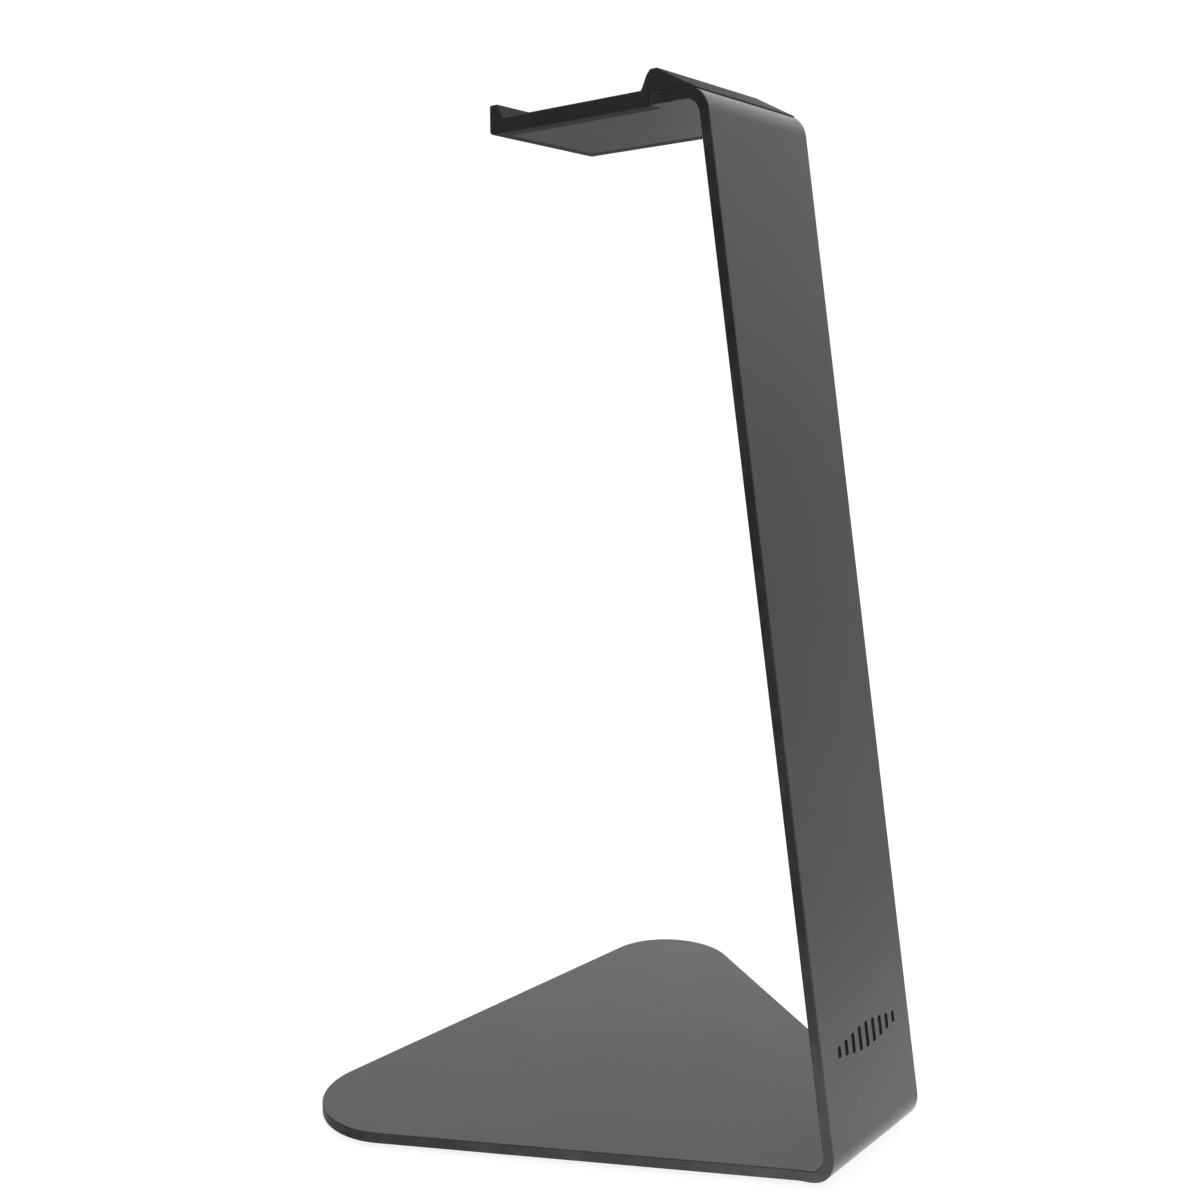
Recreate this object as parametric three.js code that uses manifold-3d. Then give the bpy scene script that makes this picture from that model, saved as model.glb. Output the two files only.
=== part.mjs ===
// Headphone stand: one bent steel plate, a silicone cradle on its arm and a foam pad under its base.
// Millimetres, +Z up. The front of the stand faces -Y, and its base and arm reach towards +Y.
import * as THREE from 'three';
import { mergeVertices } from 'three/addons/utils/BufferGeometryUtils.js';
import Module from 'manifold-3d';

// ---- Driving dimensions ----
// The steel plate. Y distances are counted from the sharp corner that the outer faces of the base and
// the upright would meet in, and heights from the steel's underside.
const STRIP_WIDTH = 44;
const PLATE_THICKNESS = 3;
const INNER_BEND_RADIUS = 4.5;
const UPRIGHT_LEAN = THREE.MathUtils.degToRad(9.1);
const ARM_HEIGHT = 268;
const STEEL_EDGE_RADIUS = 0.4;

// The base's plan: a neck as wide as the strip, two sides that flare out, and two round rear corners.
const BASE_FLARE = THREE.MathUtils.degToRad(30.75);
const BASE_FLARE_START = 8.5;
const BASE_NECK_FILLET = 10.5;
const BASE_REAR = 136.6;
const BASE_CORNER_RADIUS = 21.25;

// The arm narrows at two square shoulders into a tongue.
const SHOULDER = 60.4;
const TONGUE_END = 112.4;
const TONGUE_HALF_WIDTH = 17.4;
const TONGUE_CORNER_RADIUS = 2;

// The foam pad under the base and its adhesive film.
const PAD_THICKNESS = 1;
const PAD_ADHESIVE = 0.2;
const PAD_INSET = 3;
const PAD_FRONT_RADIUS = 3;

// The silicone cradle. Its heights are counted from the top of the arm.
const CRADLE_END = 116.2;
const CRADLE_HALF_WIDTH = 21.6;
const CRADLE_ADHESIVE = 0.2;
const CRADLE_ADHESIVE_INSET = 1;
const CRADLE_GAP = 0.3;
const SEAT_HEIGHT = 1;
const SEAT_CROWN = 2;
const RIDGE_HEIGHT = 5.8;
const RIDGE_BACK = 57.4;
const RIDGE_FRONT = 60.9;
const RIDGE_FOOT = 63.1;
const RIDGE_SIDE_END = 60.5;
const RIDGE_ROUNDING = 1;
const RIDGE_FRONT_ROUNDING = 1.5;
const TAIL_START = 46;
const TAIL_THICKNESS = 0.5;
const LIP_HEIGHT = 4.8;
const LIP_BACK = 113.1;
const LIP_FOOT = 111.4;
const LIP_ROUNDING = 1.1;

// The generic sound-level mark pressed into the front of the upright: upright bars with round ends.
const MARK_HEIGHT = 32;
const MARK_DEPTH = 0.35;
const BAR_COUNT = 9;
const BAR_PITCH = 3.4;
const BAR_WIDTH = 1.4;
const BAR_SHORTEST = 2.6;
const BAR_LONGEST = 6.6;

const CURVE_STEPS = 6;
const CUT_MARGIN = 2;

// ---- Sizes that follow ----
const HALF_WIDTH = STRIP_WIDTH / 2;
const OUTER_BEND_RADIUS = INNER_BEND_RADIUS + PLATE_THICKNESS;
const LEAN_TAN = Math.tan(UPRIGHT_LEAN);
const LEAN_COS = Math.cos(UPRIGHT_LEAN);
const LOWER_BEND = bendCentre(OUTER_BEND_RADIUS);
const UPPER_BEND = bendCentre(ARM_HEIGHT - OUTER_BEND_RADIUS);
const FACE_ANGLE = Math.PI - UPRIGHT_LEAN;
const STEEL_UNDERSIDE = PAD_THICKNESS + PAD_ADHESIVE;
const ARM_TOP = STEEL_UNDERSIDE + ARM_HEIGHT;
const ARM_UNDERSIDE = ARM_TOP - PLATE_THICKNESS;
const FRONT_MOST = LOWER_BEND.x - OUTER_BEND_RADIUS;
const MIDDLE_Y = (FRONT_MOST + BASE_REAR) / 2;

const wasm = await Module();
wasm.setup();

// The centre (Y, height) of the round bend whose outer faces are the front of the upright and a level plane.
function bendCentre(height) {
  return new THREE.Vector2(height * LEAN_TAN + OUTER_BEND_RADIUS / LEAN_COS, height);
}

// ---- Solids ----
function solidOf(geometry) {
  const bare = geometry.clone();
  bare.deleteAttribute('normal');
  bare.deleteAttribute('uv');
  const merged = mergeVertices(bare, 1e-4);
  const mesh = new wasm.Mesh({
    numProp: 3,
    vertProperties: new Float32Array(merged.attributes.position.array),
    triVerts: new Uint32Array(merged.index.array),
  });
  return new wasm.Manifold(mesh);
}

function geometryOf(solid) {
  const mesh = solid.getMesh();
  const geometry = new THREE.BufferGeometry();
  geometry.setAttribute('position', new THREE.BufferAttribute(new Float32Array(mesh.vertProperties), 3));
  geometry.setIndex(new THREE.BufferAttribute(new Uint32Array(mesh.triVerts), 1));
  geometry.computeVertexNormals();
  return geometry;
}

// A plan outline (X, Y) raised from one height to another, with round edges where edgeRadius isn't 0.
function raisePlan(shape, bottom, top, edgeRadius = 0) {
  const geometry = new THREE.ExtrudeGeometry(shape, extrusion(top - bottom, edgeRadius));
  return geometry.translate(0, 0, bottom + edgeRadius);
}

// A side outline (Y, Z) drawn out across the stand, as wide as twice halfWidth and centred on it.
function drawAcross(shape, halfWidth, edgeRadius = 0) {
  const geometry = new THREE.ExtrudeGeometry(shape, extrusion(2 * halfWidth, edgeRadius));
  geometry.translate(0, 0, edgeRadius - halfWidth);
  const toSide = new THREE.Matrix4().makeBasis(
    new THREE.Vector3(0, 1, 0),
    new THREE.Vector3(0, 0, 1),
    new THREE.Vector3(1, 0, 0),
  );
  return geometry.applyMatrix4(toSide);
}

function extrusion(length, edgeRadius) {
  return {
    depth: length - 2 * edgeRadius,
    curveSegments: CURVE_STEPS,
    bevelEnabled: edgeRadius > 0,
    bevelThickness: edgeRadius,
    bevelSize: edgeRadius,
    bevelOffset: -edgeRadius,
    bevelSegments: 2,
  };
}

// ---- Outlines ----
// The side view of the strip: a short stretch of the base, the upright and the arm up to its shoulders.
function stripOutline() {
  const low = STEEL_UNDERSIDE;
  const lowerY = LOWER_BEND.x;
  const lowerZ = LOWER_BEND.y + low;
  const upperY = UPPER_BEND.x;
  const upperZ = UPPER_BEND.y + low;
  const baseOverlap = lowerY + 3 * OUTER_BEND_RADIUS;
  const outline = new THREE.Shape();
  outline.moveTo(baseOverlap, low);
  outline.lineTo(lowerY, low);
  outline.absarc(lowerY, lowerZ, OUTER_BEND_RADIUS, 1.5 * Math.PI, FACE_ANGLE, true);
  outline.absarc(upperY, upperZ, OUTER_BEND_RADIUS, FACE_ANGLE, 0.5 * Math.PI, true);
  outline.lineTo(SHOULDER, ARM_TOP);
  outline.lineTo(SHOULDER, ARM_UNDERSIDE);
  outline.lineTo(upperY, ARM_UNDERSIDE);
  outline.absarc(upperY, upperZ, INNER_BEND_RADIUS, 0.5 * Math.PI, FACE_ANGLE, false);
  outline.absarc(lowerY, lowerZ, INNER_BEND_RADIUS, FACE_ANGLE, 1.5 * Math.PI, false);
  outline.lineTo(baseOverlap, low + PLATE_THICKNESS);
  return outline;
}

// Where the round rear corner's centre lies, for a side that is this far inside the plate's edge.
function rearCorner(inset) {
  const radius = BASE_CORNER_RADIUS - inset;
  const y = BASE_REAR - BASE_CORNER_RADIUS;
  const edgeX = HALF_WIDTH + (y - BASE_FLARE_START) * Math.tan(BASE_FLARE);
  return { x: edgeX - BASE_CORNER_RADIUS / Math.cos(BASE_FLARE), y, radius };
}

function addRearCorners(outline, inset) {
  const corner = rearCorner(inset);
  outline.absarc(corner.x, corner.y, corner.radius, -BASE_FLARE, 0.5 * Math.PI, false);
  outline.absarc(-corner.x, corner.y, corner.radius, 0.5 * Math.PI, Math.PI + BASE_FLARE, false);
}

// The plate's plan from the front of the upright to the rear of the base.
function baseOutline() {
  const filletX = HALF_WIDTH + BASE_NECK_FILLET;
  const filletY = BASE_FLARE_START - BASE_NECK_FILLET * Math.tan(BASE_FLARE / 2);
  const outline = new THREE.Shape();
  outline.moveTo(-HALF_WIDTH, 0);
  outline.lineTo(HALF_WIDTH, 0);
  outline.absarc(filletX, filletY, BASE_NECK_FILLET, Math.PI, Math.PI - BASE_FLARE, true);
  addRearCorners(outline, 0);
  outline.absarc(-filletX, filletY, BASE_NECK_FILLET, BASE_FLARE, 0, true);
  return outline;
}

// The side view of the round bend between the base and the upright.
function lowerBendOutline() {
  const y = LOWER_BEND.x;
  const z = LOWER_BEND.y + STEEL_UNDERSIDE;
  const outline = new THREE.Shape();
  outline.absarc(y, z, OUTER_BEND_RADIUS, 1.5 * Math.PI, FACE_ANGLE, true);
  outline.absarc(y, z, INNER_BEND_RADIUS, FACE_ANGLE, 1.5 * Math.PI, false);
  return outline;
}

// The pad's outline is the base's, moved in by PAD_INSET, from just behind the bend, with round corners.
function padOutline() {
  const front = LOWER_BEND.x + PAD_INSET;
  const radius = PAD_FRONT_RADIUS;
  const sideAtFront = HALF_WIDTH + (front - BASE_FLARE_START) * Math.tan(BASE_FLARE);
  const cornerX = sideAtFront - PAD_INSET / Math.cos(BASE_FLARE)
    - radius / Math.cos(BASE_FLARE) + radius * Math.tan(BASE_FLARE);
  const outline = new THREE.Shape();
  outline.absarc(-cornerX, front + radius, radius, Math.PI + BASE_FLARE, 1.5 * Math.PI, false);
  outline.absarc(cornerX, front + radius, radius, 1.5 * Math.PI, 2 * Math.PI - BASE_FLARE, false);
  addRearCorners(outline, PAD_INSET);
  return outline;
}

// A rectangle of the arm's plan whose two front corners are round.
function tongueOutline(halfWidth, start, end, radius) {
  const outline = new THREE.Shape();
  outline.moveTo(-halfWidth, start);
  outline.lineTo(halfWidth, start);
  outline.absarc(halfWidth - radius, end - radius, radius, 0, 0.5 * Math.PI, false);
  outline.absarc(radius - halfWidth, end - radius, radius, 0.5 * Math.PI, Math.PI, false);
  return outline;
}

// ---- The steel plate ----
function barLength(index) {
  const fromMiddle = index - (BAR_COUNT - 1) / 2;
  const share = Math.cos((fromMiddle * Math.PI) / (BAR_COUNT + 1)) ** 2;
  return BAR_SHORTEST + (BAR_LONGEST - BAR_SHORTEST) * share;
}

function markBar(index) {
  const radius = BAR_WIDTH / 2;
  const reach = barLength(index) / 2 - radius;
  const outline = new THREE.Shape();
  outline.absarc(0, reach, radius, 0, Math.PI, false);
  outline.absarc(0, -reach, radius, Math.PI, 2 * Math.PI, false);
  const bar = new THREE.ExtrudeGeometry(outline, extrusion(MARK_DEPTH + CUT_MARGIN, 0));
  bar.translate((index - (BAR_COUNT - 1) / 2) * BAR_PITCH, 0, -MARK_DEPTH);
  const outward = new THREE.Vector3(0, -LEAN_COS, Math.sin(UPRIGHT_LEAN));
  const upward = new THREE.Vector3(0, Math.sin(UPRIGHT_LEAN), LEAN_COS);
  const onFront = new THREE.Matrix4().makeBasis(new THREE.Vector3(1, 0, 0), upward, outward);
  onFront.setPosition(0, MARK_HEIGHT * LEAN_TAN, STEEL_UNDERSIDE + MARK_HEIGHT);
  return bar.applyMatrix4(onFront);
}

// The flat base behind the lower bend.
function flatBase() {
  const top = STEEL_UNDERSIDE + PLATE_THICKNESS;
  const plan = solidOf(raisePlan(baseOutline(), STEEL_UNDERSIDE, top, STEEL_EDGE_RADIUS));
  return plan.trimByPlane([0, 1, 0], LOWER_BEND.x);
}

// The neck's fillets run on a little way round the lower bend: here is what they add to one side of it.
function neckSide(side) {
  const bend = solidOf(drawAcross(lowerBendOutline(), HALF_WIDTH + CUT_MARGIN));
  const top = STEEL_UNDERSIDE + OUTER_BEND_RADIUS;
  const plan = solidOf(raisePlan(baseOutline(), STEEL_UNDERSIDE - CUT_MARGIN, top));
  return bend.intersect(plan).trimByPlane([side, 0, 0], HALF_WIDTH - STEEL_EDGE_RADIUS);
}

function standPlate() {
  const tongueStart = UPPER_BEND.x;
  const tongue = tongueOutline(TONGUE_HALF_WIDTH, tongueStart, TONGUE_END, TONGUE_CORNER_RADIUS);
  let plate = solidOf(drawAcross(stripOutline(), HALF_WIDTH, STEEL_EDGE_RADIUS));
  plate = plate.add(flatBase());
  plate = plate.add(neckSide(1));
  plate = plate.add(neckSide(-1));
  plate = plate.add(solidOf(raisePlan(tongue, ARM_UNDERSIDE, ARM_TOP, STEEL_EDGE_RADIUS)));
  for (let index = 0; index < BAR_COUNT; index += 1) {
    plate = plate.subtract(solidOf(markBar(index)));
  }
  return geometryOf(plate);
}

// ---- The silicone cradle ----
// Starts an outline at the tail on the upper bend and takes it under the ridge, up to the shoulder.
function startUnderRidge(outline) {
  const bendRadius = OUTER_BEND_RADIUS + CRADLE_GAP;
  const bendZ = STEEL_UNDERSIDE + UPPER_BEND.y;
  const tailAngle = Math.acos((TAIL_START - UPPER_BEND.x) / bendRadius);
  const tailRadius = bendRadius + TAIL_THICKNESS;
  outline.moveTo(
    UPPER_BEND.x + tailRadius * Math.cos(tailAngle),
    bendZ + tailRadius * Math.sin(tailAngle),
  );
  outline.absarc(UPPER_BEND.x, bendZ, bendRadius, tailAngle, 0.5 * Math.PI, true);
}

// The cradle's side view: walls, front lip, seat, ridge and the slope down to the tail.
function cradleOutline() {
  const seat = ARM_TOP + SEAT_HEIGHT;
  const lipTop = ARM_TOP + LIP_HEIGHT;
  const ridgeTop = ARM_TOP + RIDGE_HEIGHT;
  const wallStart = SHOULDER + CRADLE_GAP;
  const round = RIDGE_ROUNDING;
  const frontRound = RIDGE_FRONT_ROUNDING;
  const outline = new THREE.Shape();
  startUnderRidge(outline);
  outline.lineTo(wallStart, ARM_TOP + CRADLE_GAP);
  outline.lineTo(wallStart, ARM_UNDERSIDE);
  outline.lineTo(CRADLE_END, ARM_UNDERSIDE);
  outline.lineTo(CRADLE_END, lipTop - LIP_ROUNDING);
  outline.quadraticCurveTo(CRADLE_END, lipTop, CRADLE_END - LIP_ROUNDING, lipTop);
  outline.quadraticCurveTo(LIP_BACK, lipTop, LIP_BACK - LIP_ROUNDING / 2, lipTop - LIP_ROUNDING);
  outline.quadraticCurveTo(LIP_FOOT, seat, LIP_FOOT - round, seat);
  outline.lineTo(RIDGE_FOOT + round, seat);
  outline.quadraticCurveTo(RIDGE_FOOT, seat, RIDGE_FOOT - round / 3, seat + round);
  outline.lineTo(RIDGE_FRONT + frontRound / 2, ridgeTop - frontRound);
  outline.quadraticCurveTo(RIDGE_FRONT, ridgeTop, RIDGE_FRONT - frontRound, ridgeTop);
  outline.quadraticCurveTo(RIDGE_BACK + round / 2, ridgeTop, RIDGE_BACK - round / 2, ridgeTop - round / 2);
  return outline;
}

// The ridge's two ends, flush with the sides of the steel strip.
function ridgeOutline() {
  const ridgeTop = ARM_TOP + RIDGE_HEIGHT;
  const round = RIDGE_ROUNDING;
  const outline = new THREE.Shape();
  startUnderRidge(outline);
  outline.lineTo(RIDGE_SIDE_END, ARM_TOP + CRADLE_GAP);
  outline.lineTo(RIDGE_SIDE_END, ridgeTop - round / 4);
  outline.lineTo(RIDGE_FRONT - RIDGE_FRONT_ROUNDING, ridgeTop);
  outline.quadraticCurveTo(RIDGE_BACK + round / 2, ridgeTop, RIDGE_BACK - round / 2, ridgeTop - round / 2);
  return outline;
}

// The seat's cross-section (X, Z) above the arm. Its top is a low crown: an arc over both edges.
function crownOutline() {
  const radius = (CRADLE_HALF_WIDTH ** 2 + SEAT_CROWN ** 2) / (2 * SEAT_CROWN);
  const halfAngle = Math.asin(CRADLE_HALF_WIDTH / radius);
  const centre = ARM_TOP + SEAT_HEIGHT + SEAT_CROWN - radius;
  const outline = new THREE.Shape();
  outline.moveTo(-CRADLE_HALF_WIDTH, ARM_TOP + CRADLE_ADHESIVE);
  outline.lineTo(CRADLE_HALF_WIDTH, ARM_TOP + CRADLE_ADHESIVE);
  outline.absarc(0, centre, radius, 0.5 * Math.PI - halfAngle, 0.5 * Math.PI + halfAngle, false);
  return outline;
}

function headbandCradle() {
  const crown = new THREE.ExtrudeGeometry(crownOutline(), extrusion(LIP_BACK - RIDGE_FRONT, 0));
  crown.rotateX(0.5 * Math.PI);
  crown.translate(0, LIP_BACK, 0);
  const slotFloor = ARM_TOP + CRADLE_ADHESIVE;
  const slot = tongueOutline(
    TONGUE_HALF_WIDTH + CRADLE_GAP,
    SHOULDER - CUT_MARGIN,
    TONGUE_END + CRADLE_GAP,
    TONGUE_CORNER_RADIUS,
  );
  let cradle = solidOf(drawAcross(cradleOutline(), CRADLE_HALF_WIDTH));
  cradle = cradle.add(solidOf(drawAcross(ridgeOutline(), HALF_WIDTH)));
  cradle = cradle.add(solidOf(crown));
  cradle = cradle.subtract(solidOf(raisePlan(slot, ARM_UNDERSIDE - CUT_MARGIN, slotFloor)));
  return geometryOf(cradle);
}

// ---- Films and pad ----
function cradleAdhesive() {
  const inset = CRADLE_ADHESIVE_INSET;
  const film = tongueOutline(TONGUE_HALF_WIDTH - inset, SHOULDER + inset, TONGUE_END - inset, inset);
  return raisePlan(film, ARM_TOP, ARM_TOP + CRADLE_ADHESIVE);
}

function piece(name, geometry, color, roughness, metalness) {
  const mesh = new THREE.Mesh(geometry, new THREE.MeshStandardMaterial({ color, roughness, metalness }));
  mesh.name = name;
  return mesh;
}

const stand = new THREE.Group();
stand.position.y = -MIDDLE_Y;
const basePad = raisePlan(padOutline(), 0, PAD_THICKNESS);
const basePadAdhesive = raisePlan(padOutline(), PAD_THICKNESS, STEEL_UNDERSIDE);
stand.add(piece('stand_plate', standPlate(), 0x4a4a4b, 0.45, 0.1));
stand.add(piece('headband_cradle', headbandCradle(), 0x232324, 0.7, 0));
stand.add(piece('cradle_adhesive', cradleAdhesive(), 0xd8d8d2, 0.6, 0));
stand.add(piece('base_pad', basePad, 0x1c1c1d, 0.95, 0));
stand.add(piece('base_pad_adhesive', basePadAdhesive, 0xd8d8d2, 0.6, 0));

export default stand;
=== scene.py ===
import math

import bmesh
import bpy
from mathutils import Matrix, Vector


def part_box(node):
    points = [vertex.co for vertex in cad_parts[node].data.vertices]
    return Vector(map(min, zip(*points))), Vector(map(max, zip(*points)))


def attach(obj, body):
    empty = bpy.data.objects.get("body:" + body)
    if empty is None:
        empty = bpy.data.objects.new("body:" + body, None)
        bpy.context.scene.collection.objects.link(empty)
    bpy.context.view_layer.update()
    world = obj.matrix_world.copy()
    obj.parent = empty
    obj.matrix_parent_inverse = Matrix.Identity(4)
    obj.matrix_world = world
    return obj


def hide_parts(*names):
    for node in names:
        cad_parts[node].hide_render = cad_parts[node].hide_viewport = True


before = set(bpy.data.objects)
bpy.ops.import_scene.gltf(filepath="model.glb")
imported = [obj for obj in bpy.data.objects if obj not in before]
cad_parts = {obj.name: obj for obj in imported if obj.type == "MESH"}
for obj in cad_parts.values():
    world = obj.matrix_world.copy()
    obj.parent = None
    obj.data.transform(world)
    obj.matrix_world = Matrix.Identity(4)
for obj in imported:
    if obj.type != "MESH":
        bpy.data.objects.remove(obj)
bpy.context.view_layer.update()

MM = 0.001

# ---- Camera: its place in metres, its lens in millimetres ----
CAMERA_PLACE = (-0.30060, -0.22805, 0.18993)
CAMERA_PITCH = math.radians(90 - 7.578)
CAMERA_TURN = math.radians(-49.839)
CAMERA_LENS = 41.39

# ---- Light ----
# The table glows on the side that TABLE_BRIGHT_WAY points to, over the distances given in metres.
TABLE_BRIGHT_WAY = (0.52, -0.854, 0)
TABLE_EDGE = (-0.12, 0.05)
TABLE_FADE = (0.1, 0.4)
TABLE_GLOW = 1.03
TABLE_FAR_GLOW = 0.56
TABLE_WHITE = 0.86
BACKDROP_WHITE = 1.05
# The room dims towards DARK_SIDE, in stops of (how directly, level), and rises to BRIGHT_SIDE opposite.
DARK_SIDE = (-0.95, 0.28, 0.1)
DIMMING = ((0.0, 1.0), (0.25, 0.95), (0.6, 0.45), (0.9, 0.12))
BRIGHT_FROM = (-0.9, -0.45)
BRIGHT_SIDE = 1.2
# It is at the level HORIZON under this band of heights, and at UPPER over it.
HORIZON_BAND = (0.1, 0.6)
HORIZON = 0.6
UPPER = 1.25

# ---- The steel plate, in millimetres ----
# Y is counted from the sharp corner that the outer faces of the base and the upright would meet in,
# Z from the steel's underside, and X from the plane of symmetry.
HALF_WIDTH = 22
THICKNESS = 3
INNER_BEND = 4.5
OUTER_BEND = INNER_BEND + THICKNESS
LEAN = math.radians(9.1)
REAR = 136.6
FLARE = math.radians(30.75)
FLARE_START = 8.5
NECK_FILLET = 10.5
REAR_CORNER = 21.25
SHOULDER = 60.4
SHOULDER_CORNER = 0.9
SHOULDER_ROOT = 0.6
TONGUE_END = 112.4
TONGUE_HALF = 17.4
TONGUE_CORNER = 2
STEEL_EDGE = 0.35
EDGE_SUPPORT = 0.15
EDGE_STEPS = 5
BEND_STEPS = 20
REAR_STEPS = 28
NECK_STEPS = 6
CORNER_STEPS = 8

# ---- The foam pad under the base ----
PAD_INSET = 3
PAD_FRONT_CORNER = 3
PAD_EDGE = 0.22

# ---- The silicone cradle: heights are above the arm's top ----
CRADLE_END = 116.2
CRADLE_HALF = 21.6
CRADLE_START = 60.5
CRADLE_BOTTOM_EDGE = 1.0
CRADLE_TOP_EDGE = 0.5
CRADLE_FRONT_EDGE = 1.0
SEAT_HEIGHT = 1
SEAT_CROWN = 2
SEAT_BLEND = 0.9
SEAT_COLUMNS = 24
RIDGE_TOP = 5.75
RIDGE_BACK = 57.9
RIDGE_FRONT = 59.5
RIDGE_FRONT_CORNER = 2.3
RIDGE_FACE = 65
RIDGE_SIDE_END = 60.55
RIDGE_SLOPE = math.radians(27.5)
RIDGE_EDGE = 0.5
RIDGE_CORNER = 1.0
RIDGE_UNDER_EDGE = 0.03
RIDGE_SIDE_EDGE = 0.25
RAMP_SHARES = (0.15, 0.3, 0.45, 0.6, 0.7, 0.8, 0.88, 0.94, 1.0)
RAMP_EDGE_SHARE = 0.38
FILM = 0.2
SNUG = 0.03
SLOT_EDGE = 0.02
CUT_MARGIN = 3
LIP_TOP = 4.75
LIP_BACK = 113.1
LIP_FOOT = 111.4
# The lip's inner slope stops LIP_ROUNDING under its top, and a short curve goes the rest of the way.
LIP_FOOT_BLEND = 1.2
LIP_FOOT_REACH = 1.0
LIP_ROUNDING = 0.6
LIP_CURVE_RISE = 0.54
LIP_CURVE_REACH = 0.75
# The height of a section where neither the ridge nor the lip stands: well under the seat.
BELOW_SEAT = -0.6

# ---- The pressed sound-level mark ----
MARK_HEIGHT = 32
MARK_ZONE = 6
MARK_DEPTH = 0.35
MARK_RIM = 0.1
MARK_FLOOR_EDGE = 0.06
BAR_COUNT = 9
BAR_PITCH = 3.4
BAR_WIDTH = 1.4
BAR_SHORTEST = 2.6
BAR_LONGEST = 6.6

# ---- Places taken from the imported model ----
plate_low, plate_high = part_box("stand_plate")
pad_low, pad_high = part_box("base_pad")
ARM = (plate_high.z - plate_low.z) / MM
CORNER_Y = plate_high.y - REAR * MM
LOWER_Z = OUTER_BEND
LOWER_Y = LOWER_Z * math.tan(LEAN) + OUTER_BEND / math.cos(LEAN)
UPPER_Z = ARM - OUTER_BEND
UPPER_Y = UPPER_Z * math.tan(LEAN) + OUTER_BEND / math.cos(LEAN)
FACE_ANGLE = math.pi - LEAN


def place(x, y, z):
    """A point in millimetres, by the plate's corner and underside, as a point of the row frame."""
    return Vector((x * MM, CORNER_Y + y * MM, plate_low.z + z * MM))


# ---- Meshes ----
def arc(cx, cy, radius, start, end, steps):
    """Points of a circle from one angle to another, in degrees, both ends among them."""
    angles = [math.radians(start + (end - start) * k / steps) for k in range(steps + 1)]
    return [(cx + radius * math.cos(a), cy + radius * math.sin(a)) for a in angles]


def outline_normals(points):
    """The mitred outward direction of each corner of a counter-clockwise outline, and its reach."""
    found = []
    for index, point in enumerate(points):
        before = Vector(points[index - 1])
        after = Vector(points[(index + 1) % len(points)])
        here = Vector(point)
        first = (here - before).normalized()
        second = (after - here).normalized()
        normal = Vector((first.y + second.y, -first.x - second.x)).normalized()
        reach = 1 / max(0.3, normal.dot(Vector((first.y, -first.x))))
        found.append((normal, reach))
    return found


class Shell:
    """Collects vertices with their own normals, and faces with a material number."""

    def __init__(self):
        self.points = []
        self.normals = []
        self.edges = []
        self.faces = []
        self.kinds = []

    def add(self, point, normal, edge=0.0):
        self.points.append(point)
        self.normals.append(normal.normalized())
        self.edges.append(edge)
        return len(self.points) - 1

    def face(self, corners, kind=0):
        self.faces.append(tuple(corners))
        self.kinds.append(kind)

    def band(self, first, second, kind=0):
        """Quads between two closed rings of as many vertices."""
        count = len(first)
        for k in range(count):
            after = (k + 1) % count
            self.face((first[k], first[after], second[after], second[k]), kind)

    def build(self, name, materials):
        mesh = bpy.data.meshes.new(name)
        mesh.from_pydata([tuple(p) for p in self.points], [], self.faces)
        mesh.polygons.foreach_set("material_index", self.kinds)
        mesh.polygons.foreach_set("use_smooth", [True] * len(self.faces))
        edge = mesh.attributes.new("edge", "FLOAT", "POINT")
        edge.data.foreach_set("value", self.edges)
        mesh.normals_split_custom_set_from_vertices([tuple(n) for n in self.normals])
        mesh.update()
        return dress(link(name, mesh), materials)


def link(name, data):
    """A new object of the scene with the given mesh or camera."""
    thing = bpy.data.objects.new(name, data)
    bpy.context.scene.collection.objects.link(thing)
    return thing


def dress(piece, materials):
    for material in materials:
        piece.data.materials.append(material)
    return piece


def edge_profile(radius, thickness, support, steps):
    """(inset, depth, turn) rings round a plate's edge, from one face to the other.

    turn is 0 on the first face, 90 degrees on the wall and 180 on the second face."""
    rings = [(radius + support, 0.0, 0.0)]
    for k in range(steps + 1):
        turn = 0.5 * math.pi * k / steps
        rings.append((radius * (1 - math.sin(turn)), radius * (1 - math.cos(turn)), turn))
    mirrored = [(inset, thickness - depth, math.pi - turn) for inset, depth, turn in rings]
    return rings + mirrored[::-1]


# ---- The plate's flat pattern ----
# X goes across it and S along its outer face, from the base's rear to the arm's end.
LOWER_START = REAR - LOWER_Y
LOWER_SWEEP = 1.5 * math.pi - FACE_ANGLE
LOWER_END = LOWER_START + LOWER_SWEEP * OUTER_BEND
UPRIGHT_LENGTH = math.hypot(UPPER_Y - LOWER_Y, UPPER_Z - LOWER_Z)
UPPER_START = LOWER_END + UPRIGHT_LENGTH
UPPER_SWEEP = FACE_ANGLE - 0.5 * math.pi
UPPER_END = UPPER_START + UPPER_SWEEP * OUTER_BEND
FACE_START_Z = LOWER_Z + OUTER_BEND * math.sin(LEAN)
MARK_MIDDLE = LOWER_END + (MARK_HEIGHT - FACE_START_Z) / math.cos(LEAN)
NECK_Y = FLARE_START - NECK_FILLET * math.tan(FLARE / 2)


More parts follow.
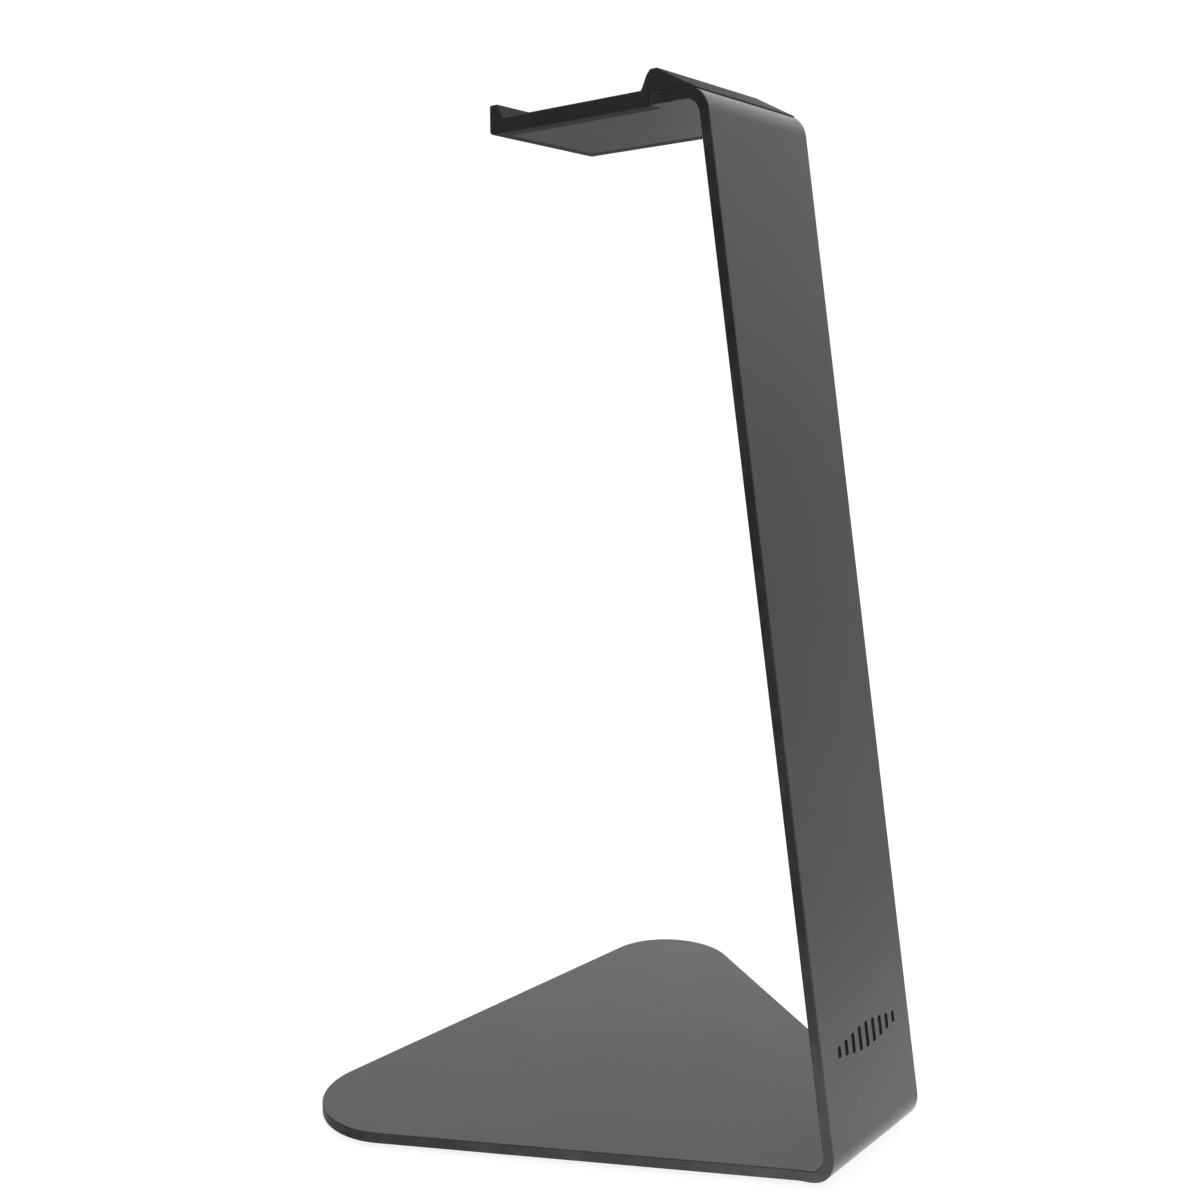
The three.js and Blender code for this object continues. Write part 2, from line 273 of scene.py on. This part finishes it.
def bend_frame(s):
    """Where the outer face is at S: its Y and Z, its outward normal and its direction of travel."""
    if s <= LOWER_START:
        return REAR - s, 0.0, Vector((0, 0, -1)), Vector((0, -1, 0))
    if s >= UPPER_END:
        return UPPER_Y + s - UPPER_END, ARM, Vector((0, 0, 1)), Vector((0, 1, 0))
    centre_y, centre_z, angle, run = LOWER_Y, LOWER_Z, FACE_ANGLE, 0.0
    if s < LOWER_END:
        angle = 1.5 * math.pi - (s - LOWER_START) / OUTER_BEND
    elif s <= UPPER_START:
        run = s - LOWER_END
    else:
        centre_y, centre_z = UPPER_Y, UPPER_Z
        angle = FACE_ANGLE - (s - UPPER_START) / OUTER_BEND
    normal = Vector((0, math.cos(angle), math.sin(angle)))
    travel = Vector((0, math.sin(angle), -math.cos(angle)))
    y = centre_y + OUTER_BEND * normal.y + run * travel.y
    z = centre_z + OUTER_BEND * normal.z + run * travel.z
    return y, z, normal, travel


def on_plate(x, s, depth):
    """A point of the bent plate, that far below its outer face."""
    y, z, normal = bend_frame(s)[:3]
    return place(x, y - depth * normal.y, z - depth * normal.z)


def evenly(start, end, steps):
    """Numbers from start to end, both among them."""
    return [start + (end - start) * k / steps for k in range(steps + 1)]


def plate_stations():
    """The S places where the strip's faces are divided."""
    lower = evenly(LOWER_START, LOWER_END, BEND_STEPS)
    mark = [MARK_MIDDLE - MARK_ZONE, MARK_MIDDLE + MARK_ZONE]
    return lower + mark + evenly(UPPER_START, UPPER_END, BEND_STEPS)


def strip_half(s):
    """Half the strip's width at S: the neck's fillet runs on a little way round the lower bend."""
    along = max(0.0, REAR - NECK_Y - s)
    return HALF_WIDTH + NECK_FILLET - math.sqrt(NECK_FILLET ** 2 - along ** 2)


def flare_half(y):
    """Half the base's width at Y, where its sides are straight."""
    return HALF_WIDTH + (y - FLARE_START) * math.tan(FLARE)


def rear_corner_centre():
    """The X and Y of the centre of the base's right rear corner."""
    y = REAR - REAR_CORNER
    return flare_half(y) - REAR_CORNER / math.cos(FLARE), y


def plate_half():
    """The right half of the plate's flat outline, from the base's rear to the arm's end."""
    flare_degrees = math.degrees(FLARE)
    corner_x, corner_y = rear_corner_centre()
    bend_degrees = math.degrees(math.asin((LOWER_Y - NECK_Y) / NECK_FILLET))
    neck_x = HALF_WIDTH + NECK_FILLET
    neck_end = 180 - bend_degrees
    base = arc(corner_x, corner_y, REAR_CORNER, 90, -flare_degrees, REAR_STEPS)
    base += arc(neck_x, NECK_Y, NECK_FILLET, 180 - flare_degrees, neck_end, NECK_STEPS)[:-1]
    half = [(x, REAR - y) for x, y in base]
    first_station = len(half)
    half += [(strip_half(s), s) for s in plate_stations()]
    last_station = len(half) - 1
    out = SHOULDER_CORNER
    root = SHOULDER_ROOT
    end = TONGUE_CORNER
    arm = arc(HALF_WIDTH - out, SHOULDER - out, out, 0, 90, 5)
    arm += arc(TONGUE_HALF + root, SHOULDER + root, root, 270, 180, 4)
    arm += arc(TONGUE_HALF - end, TONGUE_END - end, end, 0, 90, CORNER_STEPS)
    half += [(x, UPPER_END + y - UPPER_Y) for x, y in arm]
    return half, first_station, last_station


def bar_length(index):
    from_middle = index - (BAR_COUNT - 1) / 2
    share = math.cos(from_middle * math.pi / (BAR_COUNT + 1)) ** 2
    return BAR_SHORTEST + (BAR_LONGEST - BAR_SHORTEST) * share


def bar_outline(index, grow):
    """A bar of the mark with round ends, as (X, S) points, counter-clockwise."""
    radius = BAR_WIDTH / 2 + grow
    reach = (bar_length(index) - BAR_WIDTH) / 2
    x = (index - (BAR_COUNT - 1) / 2) * BAR_PITCH
    top = arc(x, MARK_MIDDLE + reach, radius, 0, 180, 10)
    bottom = arc(x, MARK_MIDDLE - reach, radius, 180, 360, 10)
    return top + bottom


def add_bar(shell, index):
    """Presses one bar into the plate, and gives the ring of vertices that its face has to meet."""
    normal, travel = bend_frame(MARK_MIDDLE)[2:]
    rings = []
    # How far each ring is outside the bar, how deep it is, and how far it leans to the wall.
    steps = (
        (MARK_RIM, 0.0, 0.0),
        (MARK_RIM * 0.29, MARK_RIM * 0.29, 0.7),
        (0.0, MARK_RIM, 1.0),
        (-0.02, MARK_DEPTH - MARK_FLOOR_EDGE, 1.0),
        (-0.02 - MARK_FLOOR_EDGE, MARK_DEPTH, 0.0),
    )
    for grow, depth, tilt in steps:
        ring = []
        points = bar_outline(index, grow)
        for (x, s), (out, _) in zip(points, outline_normals(points)):
            inward = Vector((-out.x, 0, 0)) - travel * out.y
            ring.append(shell.add(on_plate(x, s, depth), normal * (1 - tilt) + inward * tilt))
        rings.append(ring)
    for number, (first, second) in enumerate(zip(rings, rings[1:])):
        shell.band(first, second, 1 if number >= 2 else 0)
    shell.face(rings[-1], 1)
    return rings[0]


def fill_with_holes(shell, border, holes):
    """Triangles between a border and the holes in it, all on one plane."""
    bm = bmesh.new()
    numbers = {}
    edges = []
    for ring in [border, *holes]:
        verts = [bm.verts.new(shell.points[k]) for k in ring]
        numbers.update(zip(verts, ring))
        edges += [bm.edges.new((verts[k - 1], verts[k])) for k in range(len(verts))]
    facing = shell.normals[border[0]]
    bmesh.ops.triangle_fill(bm, use_beauty=True, use_dissolve=False, edges=edges, normal=facing)
    for face in bm.faces:
        face.normal_update()
        corners = [numbers[v] for v in face.verts]
        shell.face(corners if face.normal.dot(facing) > 0 else corners[::-1])
    bm.free()


def plate_rings(shell, outline):
    """The rings of vertices round the plate's edge, from its outer face to its inner one."""
    normals = outline_normals(outline)
    rings = []
    for inset, depth, turn in edge_profile(STEEL_EDGE, THICKNESS, EDGE_SUPPORT, EDGE_STEPS):
        ring = []
        for (x, s), (out, reach) in zip(outline, normals):
            at_x = x - out.x * reach * inset
            at_s = s - out.y * reach * inset
            face_normal, travel = bend_frame(at_s)[2:]
            side = Vector((out.x, 0, 0)) + travel * out.y
            normal = face_normal * math.cos(turn) + side * math.sin(turn)
            edge = math.sin(turn) if 0.2 < turn < 2.9 else 0.0
            ring.append(shell.add(on_plate(at_x, at_s, depth), normal, edge))
        rings.append(ring)
    return rings


def fill_plate_face(shell, ring, first, last, outer):
    """The faces between a ring's right and left sides. The outer one takes the mark."""
    count = len(ring) // 2
    right = ring[:count]
    left = ring[count:][::-1]
    base = right[: first + 1] + left[: first + 1][::-1]
    arm = right[last:] + left[last:][::-1]
    patches = [base, arm]
    mark_at = first + BEND_STEPS + 1
    for k in range(first, last):
        patch = [right[k], right[k + 1], left[k + 1], left[k]]
        if outer and k == mark_at:
            bars = [add_bar(shell, index) for index in range(BAR_COUNT)]
            fill_with_holes(shell, patch, bars)
        else:
            patches.append(patch)
    for patch in patches:
        shell.face(patch if outer else patch[::-1])


def build_plate(materials):
    shell = Shell()
    half, first, last = plate_half()
    outline = half + [(-x, s) for x, s in reversed(half)]
    rings = plate_rings(shell, outline)
    for one, two in zip(rings, rings[1:]):
        shell.band(two, one)
    fill_plate_face(shell, rings[0], first, last, True)
    fill_plate_face(shell, rings[-1], first, last, False)
    return shell.build("stand_plate_coated", materials)


# ---- Closed meshes for the foam pad, the cradle's ridge and seat, and the slot ----
def build_slab(name, outline, radii, thickness, put, steps=4):
    """A closed plate over an outline.

    radii gives each corner's edge rounding, and put(u, v, depth) the place of a point, with depth
    counted from the first face."""
    points = []
    count = len(outline)
    normals = outline_normals(outline)
    profile = edge_profile(1.0, 2.0, 0.0, steps)[1:-1]
    for inset, depth, _ in profile:
        for (u, v), (out, reach), radius in zip(outline, normals, radii):
            low = thickness - (2 - depth) * radius if depth > 1 else depth * radius
            move = reach * inset * radius
            points.append(put(u - out.x * move, v - out.y * move, low))
    rings = [list(range(k * count, (k + 1) * count)) for k in range(len(profile))]
    return skin(name, points, rings)


def skin(name, points, rings):
    """A closed mesh of quads between rings of vertex numbers, with a face at each end."""
    faces = [rings[0], rings[-1]]
    for one, two in zip(rings, rings[1:]):
        for k in range(len(one)):
            faces.append((one[k - 1], one[k], two[k], two[k - 1]))
    mesh = bpy.data.meshes.new(name)
    mesh.from_pydata([tuple(p) for p in points], [], faces)
    piece = link(name, mesh)
    settle(piece)
    return piece


def settle(piece):
    """Merges doubled vertices, turns faces outward and shades all but sharp edges smooth."""
    mesh = piece.data
    bm = bmesh.new()
    bm.from_mesh(mesh)
    bmesh.ops.remove_doubles(bm, verts=bm.verts, dist=1e-7)
    bmesh.ops.dissolve_degenerate(bm, dist=1e-7, edges=bm.edges)
    loose = [v for v in bm.verts if not v.link_faces]
    bmesh.ops.delete(bm, geom=loose, context="VERTS")
    bmesh.ops.recalc_face_normals(bm, faces=bm.faces)
    bm.to_mesh(mesh)
    bm.free()
    mesh.polygons.foreach_set("use_smooth", [True] * len(mesh.polygons))
    mesh.set_sharp_from_angle(angle=math.radians(32))


def build_pad(materials):
    """The foam sheet: the base's outline moved in, with round corners behind the bend."""
    flare_degrees = math.degrees(FLARE)
    corner_x, corner_y = rear_corner_centre()
    front = LOWER_Y + PAD_INSET
    radius = PAD_FRONT_CORNER
    moved_in = (PAD_INSET + radius) / math.cos(FLARE)
    front_x = flare_half(front) - moved_in + radius * math.tan(FLARE)
    right = arc(front_x, front + radius, radius, 270, 360 - flare_degrees, CORNER_STEPS)
    right += arc(corner_x, corner_y, REAR_CORNER - PAD_INSET, -flare_degrees, 90, REAR_STEPS)
    outline = right + [(-x, y) for x, y in reversed(right)]
    thickness = (pad_high.z - pad_low.z) / MM
    top = (pad_high.z - plate_low.z) / MM

    def put(u, v, depth):
        return place(u, v, top - depth)

    pad = build_slab("base_foam_pad", outline, [PAD_EDGE] * len(outline), thickness, put)
    return dress(pad, materials)


# ---- The silicone cradle ----
def ridge_outline():
    """The ridge's side view (Y, Z), and how far its two ends are rounded at each point.

    It goes from the tail under the ridge to its front corner, over its top and down its ramp."""
    under = OUTER_BEND + SNUG
    top = ARM + RIDGE_TOP
    tail_angle = 90 + math.degrees(RIDGE_SLOPE)
    points = arc(UPPER_Y, UPPER_Z, under, tail_angle, 90, 10)
    radii = [RIDGE_UNDER_EDGE] * len(points)
    points.append((RIDGE_SIDE_END, ARM + SNUG))
    radii.append(RIDGE_SIDE_EDGE)
    front = RIDGE_FRONT_CORNER
    first = math.degrees(math.acos((RIDGE_SIDE_END - RIDGE_FRONT) / front))
    points += arc(RIDGE_FRONT, top - front, front, first, 90, 3)
    drop = RIDGE_CORNER * math.tan(RIDGE_SLOPE / 2)
    points += arc(RIDGE_BACK + drop, top - RIDGE_CORNER, RIDGE_CORNER, 90, tail_angle, 6)
    radii += [RIDGE_EDGE] * (len(points) - len(radii))
    lean_y = -math.sin(RIDGE_SLOPE)
    lean_z = math.cos(RIDGE_SLOPE)
    reach = (RIDGE_BACK - UPPER_Y) * lean_y + (top - UPPER_Z) * lean_z
    tail_y = UPPER_Y + reach * lean_y
    tail_z = UPPER_Z + reach * lean_z
    start_y = RIDGE_BACK - drop * math.cos(RIDGE_SLOPE)
    for share in RAMP_SHARES:
        y = start_y + (tail_y - start_y) * share
        z = tail_z + (y - tail_y) * math.tan(RIDGE_SLOPE)
        thick = math.hypot(y - UPPER_Y, z - UPPER_Z) - under
        points.append((y, z))
        radii.append(min(RIDGE_EDGE, RAMP_EDGE_SHARE * thick))
    return points, radii


def build_ridge():
    outline, radii = ridge_outline()

    def put(u, v, depth):
        return place(HALF_WIDTH - depth, u, v)

    return build_slab("ridge_block", outline, radii, 2 * HALF_WIDTH, put, 5)


def smooth_top(first, second, blend):
    """The larger of two heights, with a fillet where they meet."""
    mix = max(0.0, min(1.0, 0.5 + 0.5 * (first - second) / blend))
    return second + (first - second) * mix + blend * mix * (1 - mix)


def steps_to(start, end, count):
    """Points evenly along a straight line: the end is among them and the start isn't."""
    across = end[0] - start[0]
    up = end[1] - start[1]
    shares = [k / count for k in range(1, count + 1)]
    return [(start[0] + across * share, start[1] + up * share) for share in shares]


def seat_stations():
    """(Y, height of the ridge, the lip or neither) along the cradle.

    The ridge's corner is round. The curve at the lip's top starts level and ends upright."""
    bend = RIDGE_FRONT_CORNER
    first = math.degrees(math.acos((CRADLE_START - RIDGE_FRONT) / bend))
    stations = arc(RIDGE_FRONT, RIDGE_TOP - bend, bend, first, 90 - RIDGE_FACE, 5)
    fall = math.tan(math.radians(RIDGE_FACE))
    face_y, face_z = stations[-1]
    ridge_foot = (face_y + (face_z - BELOW_SEAT) / fall, BELOW_SEAT)
    stations += steps_to(stations[-1], ridge_foot, 14)
    lip_foot = (LIP_FOOT - LIP_FOOT_BLEND, BELOW_SEAT)
    stations += steps_to(ridge_foot, lip_foot, 12)
    lip_slope = (LIP_TOP - BELOW_SEAT) / (LIP_BACK - LIP_FOOT + LIP_FOOT_REACH)
    shoulder_z = LIP_TOP - LIP_ROUNDING
    shoulder_y = lip_foot[0] + (shoulder_z - BELOW_SEAT) / lip_slope
    stations += steps_to(lip_foot, (shoulder_y, shoulder_z), 12)
    for k in range(1, 6):
        turn = 0.5 * math.pi * k / 5
        climb = LIP_CURVE_RISE * (1 - math.cos(turn)) + (LIP_ROUNDING - LIP_CURVE_RISE) * k / 5
        stations.append((shoulder_y + LIP_CURVE_REACH * math.sin(turn), shoulder_z + climb))
    stations.append((CRADLE_END - CRADLE_FRONT_EDGE, LIP_TOP))
    return stations


def seat_section(height, inset):
    """The seat's cross-section (X, Z) as a closed ring, moved in by inset."""
    half = CRADLE_HALF - inset
    bottom = ARM - THICKNESS + inset
    low_edge = max(0.05, CRADLE_BOTTOM_EDGE - inset)
    high_edge = max(0.05, CRADLE_TOP_EDGE - inset)

    def top_at(x):
        crown = SEAT_HEIGHT + SEAT_CROWN * (1 - (x / CRADLE_HALF) ** 2)
        return ARM + smooth_top(crown, height, SEAT_BLEND) - inset

    inner = half - high_edge
    shoulder = top_at(inner) - high_edge
    ring = [(x, top_at(x)) for x in evenly(-inner, inner, SEAT_COLUMNS)]
    ring += arc(inner, shoulder, high_edge, 90, 0, 5)[1:]
    ring += arc(half - low_edge, bottom + low_edge, low_edge, 0, -90, 6)
    ring += arc(-half + low_edge, bottom + low_edge, low_edge, 270, 180, 6)
    ring += arc(-inner, shoulder, high_edge, 180, 90, 5)[:-1]
    return ring


def build_seat():
    """The cradle in front of the shoulders, as a loft of cross-sections along Y."""
    sections = [(y, height, 0) for y, height in seat_stations()]
    for turn in evenly(0, 0.5 * math.pi, 6)[1:]:
        inset = CRADLE_FRONT_EDGE * (1 - math.cos(turn))
        y = CRADLE_END - CRADLE_FRONT_EDGE * (1 - math.sin(turn))
        sections.append((y, LIP_TOP, inset))
    points = []
    rings = []
    for y, height, inset in sections:
        section = [place(x, y, z) for x, z in seat_section(height, inset)]
        rings.append(list(range(len(points), len(points) + len(section))))
        points += section
    return skin("seat_block", points, rings)


def build_slot():
    """The space of the steel tongue and its film, cut out of the cradle."""
    half = TONGUE_HALF + SNUG
    end = TONGUE_END + SNUG
    corner = arc(half - TONGUE_CORNER, end - TONGUE_CORNER, TONGUE_CORNER, 0, 90, CORNER_STEPS)
    right = [(half, SHOULDER - CUT_MARGIN)] + corner
    outline = right + [(-x, y) for x, y in reversed(right)]

    def put(u, v, depth):
        return place(u, v, ARM + FILM - depth)

    deep = THICKNESS + FILM + CUT_MARGIN
    return build_slab("slot_cutter", outline, [SLOT_EDGE] * len(outline), deep, put)


def combine(piece, other, operation):
    """Joins another mesh to a piece, or cuts it out, and removes the other one."""
    cut = piece.modifiers.new(operation.lower(), "BOOLEAN")
    cut.operation = operation
    cut.solver = "EXACT"
    cut.object = other
    depsgraph = bpy.context.evaluated_depsgraph_get()
    result = bpy.data.meshes.new_from_object(piece.evaluated_get(depsgraph))
    piece.modifiers.clear()
    piece.data = result
    bpy.data.objects.remove(other)


def build_cradle(materials):
    cradle = build_seat()
    combine(cradle, build_ridge(), "UNION")
    combine(cradle, build_slot(), "DIFFERENCE")
    settle(cradle)
    cradle.name = "headband_cradle_soft"
    cradle.data.name = "headband_cradle_soft"
    return dress(cradle, materials)


# ---- Materials ----
class Nodes:
    """A short way to write a node tree."""

    def __init__(self, name):
        self.material = bpy.data.materials.new(name)
        self.material.use_nodes = True
        self.tree = self.material.node_tree
        self.shader = self.tree.nodes["Principled BSDF"]
        self.place = self.add("ShaderNodeTexCoord").outputs["Object"]

    def add(self, kind, **settings):
        node = self.tree.nodes.new(kind)
        for key, value in settings.items():
            setattr(node, key, value)
        return node

    def join(self, source, target):
        self.tree.links.new(source, target)

    def noise(self, size, detail=3.0, roughness=0.55):
        """Noise whose features are about size millimetres across."""
        node = self.add("ShaderNodeTexNoise")
        self.join(self.place, node.inputs["Vector"])
        node.inputs["Scale"].default_value = 1 / (size * MM)
        node.inputs["Detail"].default_value = detail
        node.inputs["Roughness"].default_value = roughness
        return node.outputs["Fac"]

    def spread(self, source, low, high, to_low, to_high):
        """source, taken from low..high to to_low..to_high."""
        node = self.add("ShaderNodeMapRange")
        self.join(source, node.inputs["Value"])
        names = ("From Min", "From Max", "To Min", "To Max")
        for name, value in zip(names, (low, high, to_low, to_high)):
            node.inputs[name].default_value = value
        return node.outputs["Result"]

    def math(self, operation, first, second):
        node = self.add("ShaderNodeMath", operation=operation)
        for socket, value in zip(node.inputs, (first, second)):
            if isinstance(value, (int, float)):
                socket.default_value = value
            else:
                self.join(value, socket)
        return node.outputs["Value"]

    def mix(self, factor, first, second):
        """A colour between two: each is a colour or an output."""
        node = self.add("ShaderNodeMix", data_type="RGBA")
        self.join(factor, node.inputs["Factor"])
        for socket, value in zip((node.inputs[6], node.inputs[7]), (first, second)):
            if isinstance(value, tuple):
                socket.default_value = (*value, 1)
            else:
                self.join(value, socket)
        return node.outputs[2]

    def bump(self, height, depth, strength=1.0, under=None):
        """Bump whose full height is depth millimetres."""
        node = self.add("ShaderNodeBump")
        self.join(height, node.inputs["Height"])
        node.inputs["Distance"].default_value = depth * MM
        node.inputs["Strength"].default_value = strength
        if under is not None:
            self.join(under, node.inputs["Normal"])
        return node.outputs["Normal"]

    def finish(self, colour=None, roughness=None, normal=None):
        for name, value in (("Base Color", colour), ("Roughness", roughness), ("Normal", normal)):
            if value is not None:
                self.join(value, self.shader.inputs[name])
        return self.material


def powder_coat():
    """Satin dark grey: a very fine grain, faint clouds, and rounded edges lightened in patches, partly
    as rubbed wear and partly as a painted highlight for the light that the rounding catches.
    """
    n = Nodes("powder_coat_dark_grey")
    cloud = n.spread(n.noise(45, 2), 0.3, 0.7, 0, 1)
    grain = n.spread(n.noise(0.55, 2), 0.3, 0.7, 0, 1)
    base = n.mix(cloud, (0.019, 0.019, 0.0192), (0.023, 0.023, 0.0232))
    fleck = n.mix(grain, (0.0, 0.0, 0.0), (0.005, 0.005, 0.005))
    flecked = n.add("ShaderNodeMix", data_type="RGBA", blend_type="ADD")
    flecked.inputs["Factor"].default_value = 1
    n.join(base, flecked.inputs[6])
    n.join(fleck, flecked.inputs[7])
    # The rounded edges are lightened in patches: partly rubbed wear, partly a painted highlight
    # standing in for the light that the edge rounding catches.
    edge = n.add("ShaderNodeAttribute", attribute_name="edge").outputs["Fac"]
    patches = n.spread(n.noise(9, 3), 0.45, 0.7, 0, 1)
    wear_and_rim_highlight = n.math("MULTIPLY", n.math("MULTIPLY", edge, patches), 0.35)
    colour = n.mix(wear_and_rim_highlight, flecked.outputs[2], (0.11, 0.11, 0.112))
    rough = n.spread(n.noise(18, 4), 0.3, 0.7, 0.25, 0.30)
    rough = n.math("SUBTRACT", rough, n.math("MULTIPLY", wear_and_rim_highlight, 0.15))
    peel = n.bump(n.noise(1.6, 2), 0.012)
    normal = n.bump(n.noise(0.4, 2), 0.006, 1.0, peel)
    n.shader.inputs["IOR"].default_value = 1.5
    n.shader.inputs["Specular IOR Level"].default_value = 0.6
    return n.finish(colour, rough, normal)


def mark_paint():
    """The near-black, dull paint in the pressed bars."""
    n = Nodes("mark_dark_paint")
    colour = n.mix(n.noise(0.8, 3), (0.006, 0.006, 0.006), (0.012, 0.012, 0.012))
    rough = n.spread(n.noise(0.5, 3), 0.3, 0.7, 0.6, 0.75)
    n.shader.inputs["Specular IOR Level"].default_value = 0.25
    return n.finish(colour, rough, n.bump(n.noise(0.3, 2), 0.01))


def silicone():
    """Matte black moulded silicone with a fine skin texture."""
    n = Nodes("silicone_matte_black")
    cloud = n.spread(n.noise(14, 3), 0.3, 0.7, 0, 1)
    colour = n.mix(cloud, (0.035, 0.035, 0.0355), (0.041, 0.041, 0.0415))
    rough = n.spread(n.noise(6, 4), 0.3, 0.7, 0.68, 0.78)
    coarse = n.bump(n.noise(1.1, 3), 0.012)
    normal = n.bump(n.noise(0.22, 2), 0.005, 1.0, coarse)
    n.shader.inputs["IOR"].default_value = 1.41
    n.shader.inputs["Specular IOR Level"].default_value = 0.25
    n.shader.inputs["Sheen Weight"].default_value = 0.05
    n.shader.inputs["Sheen Roughness"].default_value = 0.5
    return n.finish(colour, rough, normal)


def foam():
    """Dull black foam rubber with small closed cells, with painted shade in their hollows."""
    n = Nodes("foam_rubber_black")
    cells = n.add("ShaderNodeTexVoronoi", feature="SMOOTH_F1")
    n.join(n.place, cells.inputs["Vector"])
    cells.inputs["Scale"].default_value = 1 / (0.7 * MM)
    cells.inputs["Smoothness"].default_value = 0.4
    height = cells.outputs["Distance"]
    # The cells' hollows are painted darker than their rims: painted shade, taken from the same height
    # as the bump.
    colour = n.mix(n.spread(height, 0, 0.7, 0, 1), (0.010, 0.010, 0.0105), (0.030, 0.030, 0.031))
    rough = n.spread(n.noise(3, 3), 0.3, 0.7, 0.85, 0.97)
    n.shader.inputs["Specular IOR Level"].default_value = 0.2
    soft = n.bump(n.noise(5, 2), 0.05)
    return n.finish(colour, rough, n.bump(height, 0.12, 0.8, soft))


def adhesive():
    """A pale, slightly blotchy adhesive film."""
    n = Nodes("adhesive_film")
    blotch = n.spread(n.noise(7, 4), 0.3, 0.7, 0, 1)
    colour = n.mix(blotch, (0.70, 0.69, 0.63), (0.78, 0.77, 0.73))
    rough = n.spread(n.noise(1.5, 3), 0.3, 0.7, 0.3, 0.5)
    return n.finish(colour, rough, n.bump(n.noise(0.9, 3), 0.02))


def floor_material():
    """A light table: an even white to look at, that lights the stand most from below its front."""
    n = Nodes("studio_floor")
    colour = n.mix(n.noise(120, 3), (0.25, 0.25, 0.25), (0.27, 0.27, 0.27))
    n.shader.inputs["Specular IOR Level"].default_value = 0.1
    n.shader.inputs["Roughness"].default_value = 0.9
    n.shader.inputs["Emission Color"].default_value = (1, 1, 1, 1)
    along = n.add("ShaderNodeVectorMath", operation="DOT_PRODUCT")
    n.join(n.place, along.inputs[0])
    along.inputs[1].default_value = TABLE_BRIGHT_WAY
    glow = n.spread(along.outputs["Value"], *TABLE_EDGE, 0, 1)
    away = n.add("ShaderNodeVectorMath", operation="LENGTH")
    n.join(n.place, away.inputs[0])
    fading = n.spread(away.outputs["Value"], *TABLE_FADE, TABLE_GLOW, TABLE_FAR_GLOW)
    glow = n.math("MULTIPLY", glow, fading)
    seen = n.add("ShaderNodeLightPath").outputs["Is Camera Ray"]
    even = n.add("ShaderNodeMix")
    n.join(seen, even.inputs["Factor"])
    n.join(glow, even.inputs["A"])
    even.inputs["B"].default_value = TABLE_WHITE
    n.join(even.outputs["Result"], n.shader.inputs["Emission Strength"])
    return n.finish(colour)


# ---- Studio ----
def build_floor():
    mesh = bpy.data.meshes.new("studio_floor")
    reach = 60.0
    corners = [(-reach, -reach, 0), (reach, -reach, 0), (reach, reach, 0), (-reach, reach, 0)]
    mesh.from_pydata(corners, [], [(0, 1, 2, 3)])
    dress(link("studio_floor", mesh), [floor_material()])


def sky_math(tree, operation, first, second):
    node = tree.nodes.new("ShaderNodeMath")
    node.operation = operation
    tree.links.new(first, node.inputs[0])
    tree.links.new(second, node.inputs[1])
    return node.outputs["Value"]


def sky_range(tree, source, ends, to_low, to_high):
    node = tree.nodes.new("ShaderNodeMapRange")
    tree.links.new(source, node.inputs["Value"])
    names = ("From Min", "From Max", "To Min", "To Max")
    for name, value in zip(names, (*ends, to_low, to_high)):
        node.inputs[name].default_value = value
    return node.outputs["Result"]


def dimming(tree, toward):
    """How bright the room is, by how directly one looks at its dark side."""
    ramp = tree.nodes.new("ShaderNodeValToRGB")
    tree.links.new(toward, ramp.inputs["Fac"])
    ramp.color_ramp.interpolation = "B_SPLINE"
    while len(ramp.color_ramp.elements) < len(DIMMING):
        ramp.color_ramp.elements.new(0.5)
    for stop, (at, level) in zip(ramp.color_ramp.elements, DIMMING):
        stop.position = at
        stop.color = (level, level, level, 1)
    return ramp.outputs["Color"]


def build_world():
    """Soft white light from all round: weaker from the dark side and towards the horizon."""
    world = bpy.data.worlds.new("studio")
    bpy.context.scene.world = world
    world.use_nodes = True
    tree = world.node_tree
    background = tree.nodes["Background"]
    background.inputs["Color"].default_value = (1, 1, 1, 1)
    where = tree.nodes.new("ShaderNodeTexCoord").outputs["Generated"]
    product = tree.nodes.new("ShaderNodeVectorMath")
    product.operation = "DOT_PRODUCT"
    tree.links.new(where, product.inputs[0])
    product.inputs[1].default_value = DARK_SIDE
    toward = product.outputs["Value"]
    split = tree.nodes.new("ShaderNodeSeparateXYZ")
    tree.links.new(where, split.inputs[0])
    lift = sky_range(tree, toward, BRIGHT_FROM, BRIGHT_SIDE, 1.0)
    rise = sky_range(tree, split.outputs["Z"], HORIZON_BAND, HORIZON, UPPER)
    level = sky_math(tree, "MULTIPLY", dimming(tree, toward), lift)
    level = sky_math(tree, "MULTIPLY", level, rise)
    seen = tree.nodes.new("ShaderNodeLightPath").outputs["Is Camera Ray"]
    choose = tree.nodes.new("ShaderNodeMix")
    tree.links.new(seen, choose.inputs["Factor"])
    tree.links.new(level, choose.inputs["A"])
    choose.inputs["B"].default_value = BACKDROP_WHITE
    tree.links.new(choose.outputs["Result"], background.inputs["Strength"])


def build_camera():
    camera = link("camera", bpy.data.cameras.new("camera"))
    camera.location = CAMERA_PLACE
    camera.rotation_euler = (CAMERA_PITCH, 0, CAMERA_TURN)
    camera.data.sensor_width = 36
    camera.data.lens = CAMERA_LENS
    camera.data.clip_start = 0.01
    bpy.context.scene.camera = camera


# ---- The scene ----
build_camera()
bpy.context.scene.view_settings.view_transform = "Standard"
build_floor()
build_world()

plate = build_plate([powder_coat(), mark_paint()])
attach(plate, "root")
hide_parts("stand_plate")

cradle = build_cradle([silicone()])
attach(cradle, "root")
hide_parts("headband_cradle")

pad = build_pad([foam()])
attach(pad, "root")
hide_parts("base_pad")

film = adhesive()
for name in ("cradle_adhesive", "base_pad_adhesive"):
    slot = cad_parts[name].material_slots[0]
    slot.link = "OBJECT"
    slot.material = film
